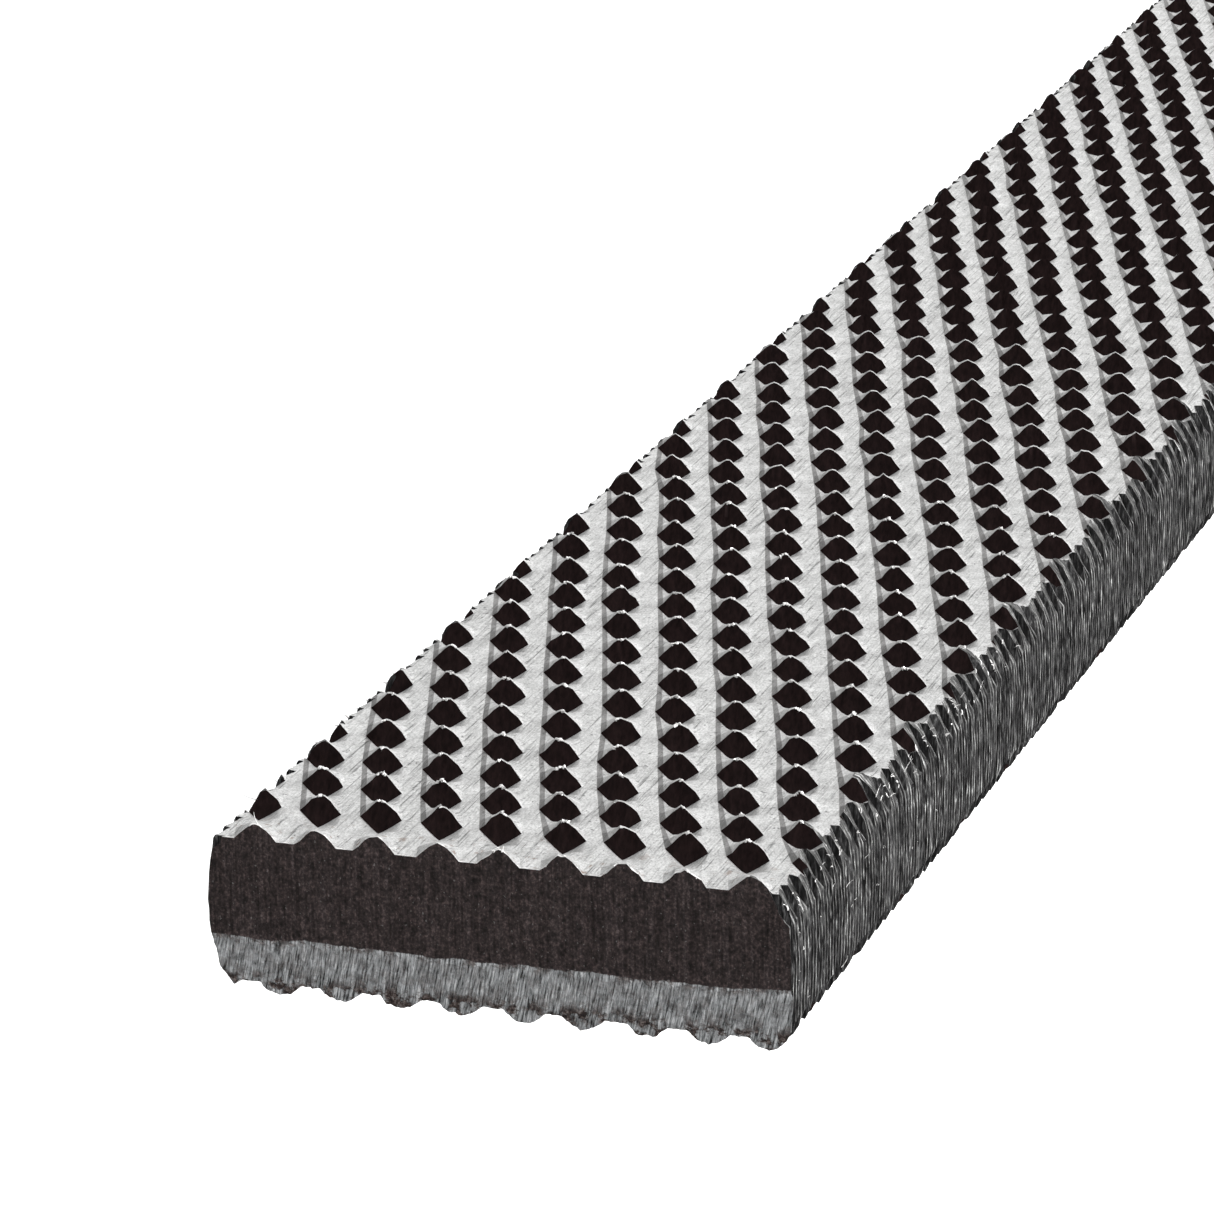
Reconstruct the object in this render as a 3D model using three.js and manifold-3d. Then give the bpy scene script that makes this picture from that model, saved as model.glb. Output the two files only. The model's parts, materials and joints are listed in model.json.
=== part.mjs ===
// A small flat file: a steel blank whose round shank is held in the collet chuck of a turned wooden handle.
// Units are millimetres. +Y runs from the square tip of the blade to the end of the handle, +X is across
// the width of the blade and +Z is up. Every piece is drawn about the axis of the handle with the tip at
// y = 0, and the group then puts the origin under the middle of the whole file, on the surface it lies on.

import * as THREE from "three";
import { mergeVertices } from "three/addons/utils/BufferGeometryUtils.js";
import Module from "manifold-3d";

const wasm = await Module();
wasm.setup();

// ---- driving dimensions ----
const FIT_GAP = 0.3;               // clearance left between pieces that bear on each other

// blank
const BLADE_WIDTH = 5.8;
const BLADE_THICKNESS = 1.75;
const BLADE_LENGTH = 78;
const NECK_LENGTH = 9;
const BLANK_LENGTH = 160;
const SHANK_RADIUS = 1.7;
const SHANK_CHAMFER = 0.4;

// chuck
const CHUCK_FRONT = 101;           // distance of the nut's nose from the tip
const NUT_LENGTH = 13;
const NUT_RADIUS = 5.9;
const NUT_NOSE_RADIUS = 3.7;
const NUT_NOSE_LENGTH = 3.2;
const NUT_CHAMFER = 0.5;
const NUT_FLUTES = 32;
const NUT_FLUTE_DEPTH = 0.3;
const NUT_LIP = 0.8;               // straight lip in front of the conical seat
const THREAD_RADIUS = 4.3;
const COLLET_RADIUS = 3.2;
const COLLET_NOSE_RADIUS = 2.5;
const COLLET_CONE_LENGTH = 4;
const COLLET_LENGTH = 10;
const COLLET_SLOT_WIDTH = 0.6;
const COLLET_SLOT_LENGTH = 8;
const SOCKET_DEPTH = 5;            // how far the collet's tail sits inside the threaded spindle
const FLANGE_RADIUS = 5.6;
const FLANGE_THICKNESS = 1.5;
const STEM_RADIUS = 3;
const STEM_LENGTH = 20;
const STEM_BARBS = 4;
const STEM_BARB_DEPTH = 0.35;

// ferrule and its two brads
const FERRULE_LENGTH = 13;
const FERRULE_RADIUS = 6.6;
const FERRULE_WALL = 0.6;
const FERRULE_FLARE = 0.25;
const BRAD_RADIUS = 0.5;
const BRAD_HEAD_RADIUS = 0.8;
const BRAD_HEAD_HEIGHT = 0.35;
const BRAD_HEAD_GAP = 0.05;        // between the underside of the head and the ferrule
const BRAD_SHOULDER_RADIUS = 0.6;  // where the domed head turns over
const BRAD_SHOULDER_HEIGHT = 0.245;
const BRAD_LENGTH = 3;
const BRAD_PLACE = 0.62;           // share of the ferrule's length in front of the brads

// handle
const GRIP_LENGTH = 86;
const GRIP_APOTHEM = 9.5;
const GRIP_SHOULDER_RADIUS = 7.1;
const GRIP_SHOULDER_BEVEL = 0.3;   // taken off the edge of the shoulder, across the axis
const GRIP_SHOULDER_BEVEL_LENGTH = 0.4;
const GRIP_WAIST_RADIUS = 7.3;
const GRIP_WAIST_START = 2;        // the waist reaches its radius this far behind the shoulder
const GRIP_STRAIGHT_START = 24;    // the facets are flat between these two distances from the shoulder
const GRIP_STRAIGHT_END = 62;
const GRIP_SWELL_START = 3;        // the waist begins to swell this far behind the shoulder
const GRIP_FACET_FADE = 4;         // the grip is round this near to the shoulder and to its end
const GRIP_END_POWER = 2.6;        // fullness of the rounded end: 2 would be an ellipse
const GRIP_FACETS = 8;
const GRIP_CORNER = 1.05;          // the corners are rounded at this many times the facets' distance
const SHANK_BORE_RADIUS = SHANK_RADIUS + 0.4;
const SHANK_BORE_END = 181;

// how finely the pieces are drawn
const ROUND_SEGMENTS = 48;
const GRIP_SEGMENTS = 64;
const SMALL_SEGMENTS = 16;
const BLANK_SIDE_STEPS = 8;
const NECK_STEPS = 8;
const GRIP_SWELL_STEP = 2.5;
const GRIP_END_STEPS = 10;
const WELD_DISTANCE = 1e-4;        // corners nearer than this are one corner
const OVERRUN = 1;                 // how far a cutter runs past the piece it cuts

// ---- places along the axis, worked out from the sizes above ----
const nutBack = CHUCK_FRONT + NUT_LENGTH;
const colletFront = CHUCK_FRONT - FIT_GAP;
const colletBack = colletFront + COLLET_LENGTH;
const spindleFront = colletBack + FIT_GAP - SOCKET_DEPTH;
const flangeFront = nutBack + FIT_GAP;
const flangeBack = flangeFront + FLANGE_THICKNESS;
const stemBack = flangeBack + STEM_LENGTH;
const ferruleFront = flangeBack + FIT_GAP;
const ferruleBack = ferruleFront + FERRULE_LENGTH;
const shoulder = ferruleBack + FIT_GAP;
const gripBack = shoulder + GRIP_LENGTH;
const spigotRadius = FERRULE_RADIUS - FERRULE_WALL - FIT_GAP;
const bradPlace = ferruleFront + FERRULE_LENGTH * BRAD_PLACE;

// ---- helpers ----
const v2 = (radius, along) => new THREE.Vector2(radius, along);

function toSolid(geometry) {
  const bare = geometry.clone();
  bare.deleteAttribute("normal");
  bare.deleteAttribute("uv");
  const merged = mergeVertices(bare, WELD_DISTANCE);
  return new wasm.Manifold(new wasm.Mesh({
    numProp: 3,
    vertProperties: new Float32Array(merged.attributes.position.array),
    triVerts: new Uint32Array(merged.index.array),
  }));
}

function toGeometry(solid) {
  const mesh = solid.getMesh();
  const geometry = new THREE.BufferGeometry();
  geometry.setAttribute("position", new THREE.BufferAttribute(new Float32Array(mesh.vertProperties), 3));
  geometry.setIndex(new THREE.BufferAttribute(new Uint32Array(mesh.triVerts), 1));
  geometry.computeVertexNormals();
  return geometry;
}

function turned(profile, segments = ROUND_SEGMENTS) {
  return toSolid(new THREE.LatheGeometry(profile, segments));
}

// A plain round rod or bore along the axis.
function rod(radius, start, end, segments = ROUND_SEGMENTS) {
  return turned([v2(0, start), v2(radius, start), v2(radius, end), v2(0, end)], segments);
}

// A closed skin through rings of points that all hold the same number of points, from tip to handle.
function lofted(rings) {
  const count = rings[0].length;
  const points = rings.flat();
  const front = points.push(centreOf(rings[0])) - 1;
  const back = points.push(centreOf(rings.at(-1))) - 1;
  const lastRing = (rings.length - 1) * count;
  const index = [];
  for (let ring = 0; ring < rings.length - 1; ring += 1) {
    for (let k = 0; k < count; k += 1) {
      const a = ring * count + k;
      const b = ring * count + (k + 1) % count;
      index.push(a, b, b + count, a, b + count, a + count);
    }
  }
  for (let k = 0; k < count; k += 1) {
    const next = (k + 1) % count;
    index.push(front, next, k);
    index.push(back, lastRing + k, lastRing + next);
  }
  const geometry = new THREE.BufferGeometry().setFromPoints(points);
  geometry.setIndex(index);
  geometry.computeVertexNormals();
  return geometry;
}

function centreOf(ring) {
  const centre = new THREE.Vector3();
  ring.forEach((point) => centre.add(point));
  return centre.divideScalar(ring.length);
}

// ---- blank: toothed blade, neck and round shank in one piece of steel ----
// A ring that is the blade's rectangle at roundness 0 and the shank's circle at roundness 1.
function blankRing(along, roundness, radius = SHANK_RADIUS) {
  const corners = [[-1, -1], [-1, 1], [1, 1], [1, -1]];
  const firstCornerAngle = Math.atan2(-1, -1);
  const ring = [];
  for (let side = 0; side < 4; side += 1) {
    const [x0, z0] = corners[side];
    const [x1, z1] = corners[(side + 1) % 4];
    for (let step = 0; step < BLANK_SIDE_STEPS; step += 1) {
      const t = step / BLANK_SIDE_STEPS;
      const flatX = THREE.MathUtils.lerp(x0, x1, t) * BLADE_WIDTH / 2;
      const flatZ = THREE.MathUtils.lerp(z0, z1, t) * BLADE_THICKNESS / 2;
      const angle = firstCornerAngle - (side + t) * Math.PI / 2;
      const roundX = Math.cos(angle) * radius;
      const roundZ = Math.sin(angle) * radius;
      ring.push(new THREE.Vector3(
        THREE.MathUtils.lerp(flatX, roundX, roundness),
        along,
        THREE.MathUtils.lerp(flatZ, roundZ, roundness),
      ));
    }
  }
  return ring;
}

function blankGeometry() {
  const rings = [blankRing(0, 0)];
  for (let step = 0; step <= NECK_STEPS; step += 1) {
    const t = step / NECK_STEPS;
    rings.push(blankRing(BLADE_LENGTH + t * NECK_LENGTH, THREE.MathUtils.smoothstep(t, 0, 1)));
  }
  rings.push(blankRing(BLANK_LENGTH - SHANK_CHAMFER, 1));
  rings.push(blankRing(BLANK_LENGTH, 1, SHANK_RADIUS - SHANK_CHAMFER));
  return lofted(rings);
}

// ---- chuck ----
// The gripping flutes of the nut as a long bar, which the nut's turned shape is then cut to.
function flutedBar(start, end) {
  const outline = new THREE.Shape();
  for (let k = 0; k < NUT_FLUTES * 2; k += 1) {
    const angle = k * Math.PI / NUT_FLUTES;
    const reach = k % 2 === 0 ? NUT_RADIUS : NUT_RADIUS - NUT_FLUTE_DEPTH;
    const x = Math.cos(angle) * reach;
    const z = Math.sin(angle) * reach;
    if (k === 0) outline.moveTo(x, z);
    else outline.lineTo(x, z);
  }
  outline.closePath();
  const bar = new THREE.ExtrudeGeometry(outline, { depth: end - start, bevelEnabled: false });
  bar.rotateX(-Math.PI / 2);
  bar.translate(0, start, 0);
  return toSolid(bar);
}

function nutGeometry() {
  const seatBack = CHUCK_FRONT + NUT_LIP + COLLET_CONE_LENGTH;
  const shape = turned([
    v2(0, CHUCK_FRONT),
    v2(NUT_NOSE_RADIUS, CHUCK_FRONT),
    v2(NUT_RADIUS - NUT_CHAMFER, CHUCK_FRONT + NUT_NOSE_LENGTH),
    v2(NUT_RADIUS, CHUCK_FRONT + NUT_NOSE_LENGTH + NUT_CHAMFER),
    v2(NUT_RADIUS, nutBack - NUT_CHAMFER),
    v2(NUT_RADIUS - NUT_CHAMFER, nutBack),
    v2(0, nutBack),
  ]);
  const inside = turned([
    v2(0, CHUCK_FRONT - OVERRUN),
    v2(COLLET_NOSE_RADIUS + FIT_GAP, CHUCK_FRONT - OVERRUN),
    v2(COLLET_NOSE_RADIUS + FIT_GAP, CHUCK_FRONT + NUT_LIP),
    v2(COLLET_RADIUS + FIT_GAP, seatBack),
    v2(THREAD_RADIUS + FIT_GAP, seatBack),
    v2(THREAD_RADIUS + FIT_GAP, nutBack + OVERRUN),
    v2(0, nutBack + OVERRUN),
  ]);
  const flutes = flutedBar(CHUCK_FRONT - OVERRUN, nutBack + OVERRUN);
  return toGeometry(shape.intersect(flutes).subtract(inside));
}

function colletGeometry() {
  const coneFront = CHUCK_FRONT + NUT_LIP;
  const body = turned([
    v2(0, colletFront),
    v2(COLLET_NOSE_RADIUS, colletFront),
    v2(COLLET_NOSE_RADIUS, coneFront),
    v2(COLLET_RADIUS, coneFront + COLLET_CONE_LENGTH),
    v2(COLLET_RADIUS, colletBack),
    v2(0, colletBack),
  ]);
  const bore = rod(SHANK_RADIUS + FIT_GAP, colletFront - OVERRUN, colletBack + OVERRUN);
  const slotCut = COLLET_SLOT_LENGTH + OVERRUN;
  const slot = new THREE.BoxGeometry((COLLET_RADIUS + OVERRUN) * 2, slotCut, COLLET_SLOT_WIDTH);
  slot.translate(0, colletFront - OVERRUN + slotCut / 2, 0);
  const acrossSlot = slot.clone().rotateY(Math.PI / 2);
  return toGeometry(body.subtract(bore).subtract(toSolid(slot)).subtract(toSolid(acrossSlot)));
}

// The threaded spindle: socket for the collet in front, flange, and a barbed stem driven into the wood.
function spindleGeometry() {
  const profile = [
    v2(0, spindleFront),
    v2(THREAD_RADIUS - NUT_CHAMFER, spindleFront),
    v2(THREAD_RADIUS, spindleFront + NUT_CHAMFER),
    v2(THREAD_RADIUS, flangeFront),
    v2(FLANGE_RADIUS, flangeFront),
    v2(FLANGE_RADIUS, flangeBack),
    v2(STEM_RADIUS, flangeBack),
  ];
  const barbPitch = STEM_LENGTH / STEM_BARBS;
  for (let barb = 0; barb < STEM_BARBS; barb += 1) {
    const start = flangeBack + barb * barbPitch;
    profile.push(v2(STEM_RADIUS, start + barbPitch / 2));
    profile.push(v2(STEM_RADIUS - STEM_BARB_DEPTH, start + barbPitch));
    if (barb < STEM_BARBS - 1) profile.push(v2(STEM_RADIUS, start + barbPitch));
  }
  profile.push(v2(0, stemBack));
  const socket = rod(COLLET_RADIUS + FIT_GAP, spindleFront - OVERRUN, colletBack + FIT_GAP);
  const bore = rod(SHANK_BORE_RADIUS, spindleFront - OVERRUN, stemBack + OVERRUN);
  return toGeometry(turned(profile).subtract(socket).subtract(bore));
}

// ---- ferrule ----
function bradHoles(radius) {
  const length = (FERRULE_RADIUS + OVERRUN) * 2;
  const cutter = new THREE.CylinderGeometry(radius, radius, length, SMALL_SEGMENTS);
  cutter.rotateZ(Math.PI / 2);
  cutter.translate(0, bradPlace, 0);
  return toSolid(cutter);
}

function ferruleGeometry() {
  const inner = FERRULE_RADIUS - FERRULE_WALL;
  const flareStart = ferruleBack - FERRULE_WALL * 2;
  const tube = turned([
    v2(inner, ferruleFront),
    v2(FERRULE_RADIUS - FERRULE_FLARE, ferruleFront),
    v2(FERRULE_RADIUS, ferruleFront + FERRULE_WALL),
    v2(FERRULE_RADIUS, flareStart),
    v2(FERRULE_RADIUS + FERRULE_FLARE, flareStart + FERRULE_WALL),
    v2(FERRULE_RADIUS + FERRULE_FLARE, ferruleBack),
    v2(inner, ferruleBack),
    v2(inner, ferruleFront),
  ]);
  return toGeometry(tube.subtract(bradHoles(BRAD_RADIUS + FIT_GAP)));
}

// A round-headed brad through the ferrule into the wood, on the side given by +1 or -1.
function bradGeometry(side) {
  const headBase = FERRULE_RADIUS + BRAD_HEAD_GAP;
  const profile = [
    v2(0, headBase - BRAD_LENGTH),
    v2(BRAD_RADIUS, headBase - BRAD_LENGTH + BRAD_RADIUS),
    v2(BRAD_RADIUS, headBase),
    v2(BRAD_HEAD_RADIUS, headBase),
    v2(BRAD_SHOULDER_RADIUS, headBase + BRAD_SHOULDER_HEIGHT),
    v2(0, headBase + BRAD_HEAD_HEIGHT),
  ];
  const brad = new THREE.LatheGeometry(profile, SMALL_SEGMENTS);
  brad.rotateZ(-side * Math.PI / 2);
  brad.translate(0, bradPlace, 0);
  return toGeometry(toSolid(brad));
}

// ---- handle ----
// Distance of the facets from the axis, measured from the shoulder behind the ferrule.
function gripApothem(along) {
  const swell = THREE.MathUtils.smoothstep(along, GRIP_SWELL_START, GRIP_STRAIGHT_START);
  const neck = THREE.MathUtils.lerp(GRIP_WAIST_RADIUS, GRIP_APOTHEM, swell);
  const tail = Math.max(0, along - GRIP_STRAIGHT_END) / (GRIP_LENGTH - GRIP_STRAIGHT_END);
  return neck * Math.sqrt(Math.max(0, 1 - tail ** GRIP_END_POWER));
}

// How far the round section has become an octagon: 0 at both ends, 1 along the straight stretch.
function facetAmount(along) {
  const rise = THREE.MathUtils.smoothstep(along, GRIP_FACET_FADE, GRIP_STRAIGHT_START);
  const fall = 1 - THREE.MathUtils.smoothstep(along, GRIP_STRAIGHT_END, GRIP_LENGTH - GRIP_FACET_FADE);
  return rise * fall;
}

function facetReach(angle) {
  const span = 2 * Math.PI / GRIP_FACETS;
  const fromFacet = angle - Math.round(angle / span) * span;
  return Math.min(1 / Math.cos(fromFacet), GRIP_CORNER);
}

function gripProfile() {
  const profile = [
    v2(0, ferruleFront + FIT_GAP),
    v2(spigotRadius, ferruleFront + FIT_GAP),
    v2(spigotRadius, shoulder),
    v2(GRIP_SHOULDER_RADIUS - GRIP_SHOULDER_BEVEL, shoulder),
    v2(GRIP_SHOULDER_RADIUS, shoulder + GRIP_SHOULDER_BEVEL_LENGTH),
    v2(GRIP_WAIST_RADIUS, shoulder + GRIP_WAIST_START),
  ];
  for (let along = GRIP_FACET_FADE; along < GRIP_STRAIGHT_START; along += GRIP_SWELL_STEP) {
    profile.push(v2(gripApothem(along), shoulder + along));
  }
  profile.push(v2(GRIP_APOTHEM, shoulder + GRIP_STRAIGHT_START));
  profile.push(v2(GRIP_APOTHEM, shoulder + GRIP_STRAIGHT_END));
  for (let step = 1; step < GRIP_END_STEPS; step += 1) {
    const turn = Math.sin(step / GRIP_END_STEPS * Math.PI / 2);
    const along = THREE.MathUtils.lerp(GRIP_STRAIGHT_END, GRIP_LENGTH, turn);
    profile.push(v2(gripApothem(along), shoulder + along));
  }
  profile.push(v2(0, gripBack));
  return profile;
}

function handleGeometry() {
  const grip = new THREE.LatheGeometry(gripProfile(), GRIP_SEGMENTS);
  const position = grip.attributes.position;
  for (let k = 0; k < position.count; k += 1) {
    const x = position.getX(k);
    const z = position.getZ(k);
    const amount = facetAmount(position.getY(k) - shoulder);
    const reach = 1 + amount * (facetReach(Math.atan2(z, x)) - 1);
    position.setX(k, x * reach);
    position.setZ(k, z * reach);
  }
  const stemBore = rod(STEM_RADIUS + FIT_GAP, ferruleFront - OVERRUN, stemBack + FIT_GAP);
  const shankBore = rod(SHANK_BORE_RADIUS, ferruleFront - OVERRUN, SHANK_BORE_END);
  return toGeometry(toSolid(grip).subtract(stemBore).subtract(shankBore)
    .subtract(bradHoles(BRAD_RADIUS + FIT_GAP)));
}

// ---- the assembly ----
const fileAssembly = new THREE.Group();
fileAssembly.position.set(0, -gripBack / 2, GRIP_APOTHEM);

function addPiece(name, geometry, color, roughness, metalness) {
  const material = new THREE.MeshStandardMaterial({ color, roughness, metalness });
  const mesh = new THREE.Mesh(geometry, material);
  mesh.name = name;
  fileAssembly.add(mesh);
}

addPiece("file_blank", blankGeometry(), 0xb9b8b6, 0.4, 1);
addPiece("chuck_nut", nutGeometry(), 0xc2c0bb, 0.3, 1);
addPiece("collet", colletGeometry(), 0x8f8d8a, 0.4, 1);
addPiece("chuck_spindle", spindleGeometry(), 0xa5a39f, 0.4, 1);
addPiece("ferrule", ferruleGeometry(), 0xc39a4c, 0.3, 1);
addPiece("ferrule_brad_left", bradGeometry(-1), 0xb08a44, 0.35, 1);
addPiece("ferrule_brad_right", bradGeometry(1), 0xb08a44, 0.35, 1);
addPiece("handle", handleGeometry(), 0xb98a54, 0.55, 0);

export default fileAssembly;
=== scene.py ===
import json
import math

import bmesh
import bpy
import numpy as np
from mathutils import Matrix, Vector


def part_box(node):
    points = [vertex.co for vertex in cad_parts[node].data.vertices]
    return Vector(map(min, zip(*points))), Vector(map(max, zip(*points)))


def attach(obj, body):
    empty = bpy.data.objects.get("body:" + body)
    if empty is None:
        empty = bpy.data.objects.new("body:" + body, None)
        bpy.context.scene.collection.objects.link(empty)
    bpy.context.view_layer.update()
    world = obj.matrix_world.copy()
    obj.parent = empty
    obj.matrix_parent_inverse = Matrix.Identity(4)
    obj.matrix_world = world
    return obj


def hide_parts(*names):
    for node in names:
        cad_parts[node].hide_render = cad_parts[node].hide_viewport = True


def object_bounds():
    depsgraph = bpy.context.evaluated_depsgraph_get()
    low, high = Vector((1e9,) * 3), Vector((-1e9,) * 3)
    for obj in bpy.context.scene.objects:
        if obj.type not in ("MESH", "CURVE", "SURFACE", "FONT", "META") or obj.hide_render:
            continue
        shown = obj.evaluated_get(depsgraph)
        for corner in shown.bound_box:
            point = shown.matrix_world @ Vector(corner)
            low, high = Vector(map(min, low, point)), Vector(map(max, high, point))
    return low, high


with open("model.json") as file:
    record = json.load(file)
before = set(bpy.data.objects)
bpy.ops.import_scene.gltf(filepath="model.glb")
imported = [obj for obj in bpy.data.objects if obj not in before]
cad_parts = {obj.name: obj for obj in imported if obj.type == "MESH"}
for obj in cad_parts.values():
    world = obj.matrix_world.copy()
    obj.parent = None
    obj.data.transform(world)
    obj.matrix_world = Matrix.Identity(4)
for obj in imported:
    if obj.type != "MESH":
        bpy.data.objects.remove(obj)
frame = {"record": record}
cad_low, cad_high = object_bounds()

# Everything is drawn in millimetres about the axis of the handle, with the tip at y = 0, and place()
# then puts it into the frame. +Y runs to the handle, +X across the blade, +Z up.
MM = 0.001
MOUNTS = {mount["name"]: mount for mount in frame["record"]["mounts"]}
BLANK_LOW, BLANK_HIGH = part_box("file_blank")
TIP_Y = BLANK_LOW[1]
AXIS_Z = (BLANK_LOW[2] + BLANK_HIGH[2]) / 2

# ---- blank ----
WIDTH = (BLANK_HIGH[0] - BLANK_LOW[0]) / MM
THICKNESS = (MOUNTS["working_face_top"]["pos_m"][2] - MOUNTS["working_face_bottom"]["pos_m"][2]) / MM
BLANK_LENGTH = (BLANK_HIGH[1] - BLANK_LOW[1]) / MM
BLADE_LENGTH = 78.0
NECK_LENGTH = 9.0
NECK_SQUARENESS = 10  # power of the blade's rounded rectangle; 2 is the shank's circle
NECK_INSET = (0.02, 0.004)  # the neck starts this far inside the blade, across and up
SHANK_RADIUS = (BLANK_HIGH[2] - BLANK_LOW[2]) / MM / 2
SHANK_END = ((0.5, 1.0), (0.15, 0.9), (0, 0.75))  # chamfer: (distance from the end, share of the radius)

# ---- double cut of the broad faces ----
COLUMN_PITCH = 0.612  # between teeth across the width
ROW_PITCH = 0.764  # between rows along the blade
COLUMN_LEAN = -0.259  # a column moves this far across the blade from row to row
ROW_SKEW = -0.017  # a row moves this far along the blade from tooth to tooth
SKEWED_ROW = 2  # the skew grows up to this row
UPPER_FIRST_CREST = -2.394  # place across the blade of one crest of row 0
UNDERSIDE_FIRST_CREST = -2.63
FIRST_ROW = -2  # rows start ahead of the tip, which is cut off later
TIP_ROW_SHIFT = -0.03  # the rows up to the tip stand this far from their even places
ROW_SHIFT = 0.036  # and so do the rows behind it
LATE_STROKE = 0.17  # the first strokes behind the tip land late by this, less LATE_FADE a row
LATE_FADE = 0.05
ROW_SPREAD = 0.017  # unevenness of the rows
TOOTH_SPREAD = (0.011, 0.008)  # unevenness of the teeth, across and along
WEAR_SPREAD = 0.006
TOOTH_LEFT = 0.198  # from a crest to the foot of its left flank
TOOTH_RIGHT = 0.228
TOOTH_STEPS = (-1, -0.72, -0.42, -0.18, 0, 0.2, 0.48, 0.76, 1)  # across a tooth, foot to foot
BACK_STEPS = ((0, 0), (0.06, 0), (0.35, 0.31), (0.7, 0.67), (1, 1))  # (share of a back, of its fall)
GROOVE_DEPTH = 0.165
PIT_DEPTH = 0.305
FACE_RAKE = 0.104  # how far the foot of a tooth's front face stands ahead of its crest
FACE_SWEEP = 0.058  # how far the flanks' feet stand ahead of the crest
CREST_POWER = 1.75  # fullness of a crest: 1 would be a sharp roof
UNDERSIDE_CREST_POWER = 2.1
LEFT_HOLLOW = 0.6  # how far the left flank is hollowed into an S
PIT_POWER = 1.15  # the pit in front of a tooth is nearly a sharp V
FLANK_EDGE = -0.6  # the painted shade of the left flanks, a darker copy of the cut steel, reaches this far towards the crest
BURR = 0.007  # raggedness of the crests
BURRED_LENGTH = 12.0  # burrs are modelled this far from the tip
BURRED_SHARE = 0.6  # and over this share of a crest
BURRED_INSET = 0.3  # and on crests this far inside the narrow edges
DETAILED_LENGTH = 18.0  # teeth this near the tip are built more finely
UNDERSIDE_DETAILED_LENGTH = 4.0
UNDERSIDE_WEAR = 0.035  # least wear of the crests underneath
UNDERSIDE_LIFT = 0.04  # the cut underneath is this much shallower
CUT_FADE = 4.0  # the cut runs out over this length before the neck
CUT_END = 0.3  # and has run out this far before it
SHEET_MARGIN = 0.9  # a toothed sheet reaches this far past the blade's sides
SHEET_OVERRUN = 2.0  # and this far past its end
CUTTER_HEIGHT = 0.8

# ---- single cut of the narrow edges ----
EDGE_PITCH = 0.27
FIRST_RIDGE = -2
EDGE_DEPTH = 0.06
EDGE_LINES = 3  # fine lines between one corner ridge and the next
EDGE_LINE_DEPTH = 0.024
EDGE_LINE_STEPS = ((0, 0), (0.36, 0.1), (0.6, 1), (0.92, 1))  # (share of a line, share of its depth)
EDGE_PLAIN_STEPS = ((0, 0), (0.92, 1))  # the same for the far ridges, which have no fine lines
EDGE_DEPTH_RANGE = (0.6, 1.35)
EDGE_LINE_RANGE = (0.5, 1.4)
EDGE_PLACE_SPREAD = 0.012
EDGE_LEAN_SPREAD = 0.01
EDGE_WANDER = 0.004
EDGE_ROUGHNESS = 0.003
EDGE_CUT_END = 1.5  # the edge cut stops this far before the neck
EDGE_PLAIN_START = 1.1  # and the plain edge starts this far before it
FLAT_SHARES = (0.1, 0.32, 0.54, 0.78)  # places of the section's points up a narrow edge
CORNER_TURNS = (0, 20, 40, 60, 78, 90)  # and round a corner, in degrees
CORNER_CUT = {1: 1.45, -1: 1.0}  # how much deeper the cut is in the middle of the upper, lower corners
CORNER_FADE = (0.5, 1.1)  # the cut fades out between these turns round a corner, in radians
CORNER_RADII = {(1, 1): 0.47, (-1, 1): 0.3, (-1, -1): 0.38, (1, -1): 0.32}  # by side across and side up
EDGE_BULGE = {1: 0.015, -1: 0.05}
BAR_OVERRUN = 0.6  # the bar starts this far ahead of the tip
BAR_TAIL = 0.3  # and ends this far inside the neck
BAR_SHOULDER = (0.05, 0.35)  # the bar stands proud of its faces by the second, set in by the first
LEAST_RING_GAP = 0.01

# ---- sheared tip ----
SHEAR_HEIGHT = -0.263  # of the line between the two zones, over the blade's mid-plane
SHEAR_SLOPE = 0.0062
SHEAR_CURVE = 0.0005
SHEAR_WAVES = 0.16
TIP_DRAG = 0.04  # the shear pushed the tip's own crests this far across
TIP_GRID = (190, 52)  # columns and rows of points on the tip
TIP_STREAK_BLOCKS = 6
TIP_BLEND = 0.05  # height over which the upper zone turns into the lower one
TORN_STEP = 0.02  # the lower zone stands this far back
TORN_RAKE = 0.075  # and leans back by this for each millimetre down
TORN_STREAKS = 0.008
TORN_GRAIN = 0.006
BURNISHED_STREAKS = 0.0018
TIP_OVERRUN = 0.3
TIP_CUT_LENGTH = 2.0

# ---- ferrule ----
FERRULE_FLARE = 0.25  # its back edge stands out this far
FERRULE_WALL = 0.6

# Finishes of the blank, in the order of its material slots.
FINISHES = 7
BRIGHT, SHADED_FLANK, TOOTH_FACE, TIP, NARROW_EDGE, EDGE_FACE, SHANK = range(FINISHES)

SEEDS = {"upper_cut": 3, "lower_cut": 4, "tip": 5, "edge_cut": 11, "crests": 21, "hairs": 22, "tip_rim": 23}


def random_for(what):
    return np.random.RandomState(SEEDS[what])


# ---- mesh helpers ----

def place(obj):
    """Moves a piece drawn in millimetres about the axis into the frame, in metres."""
    obj.data.transform(Matrix.Translation((0, TIP_Y, AXIS_Z)) @ Matrix.Scale(MM, 4))
    obj.data.update()
    return obj


def new_object(name, points, faces, finishes=None):
    """An object from points and faces, with its faces turned to look outwards.

    finishes is one material slot for all faces, or a list with one for each face.
    """
    mesh = bpy.data.meshes.new(name)
    mesh.from_pydata(np.asarray(points).tolist(), [], [list(map(int, face)) for face in faces])
    work = bmesh.new()
    work.from_mesh(mesh)
    bmesh.ops.recalc_face_normals(work, faces=work.faces)
    work.to_mesh(mesh)
    work.free()
    if finishes is not None:
        for _ in range(FINISHES):
            mesh.materials.append(None)
        slots = finishes if isinstance(finishes, list) else [finishes] * len(mesh.polygons)
        mesh.polygons.foreach_set("material_index", slots)
    mesh.update()
    obj = bpy.data.objects.new(name, mesh)
    bpy.context.scene.collection.objects.link(obj)
    return obj


def smooth(obj, angle=30):
    obj.data.shade_smooth()
    obj.data.set_sharp_from_angle(angle=math.radians(angle))
    return obj


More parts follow.
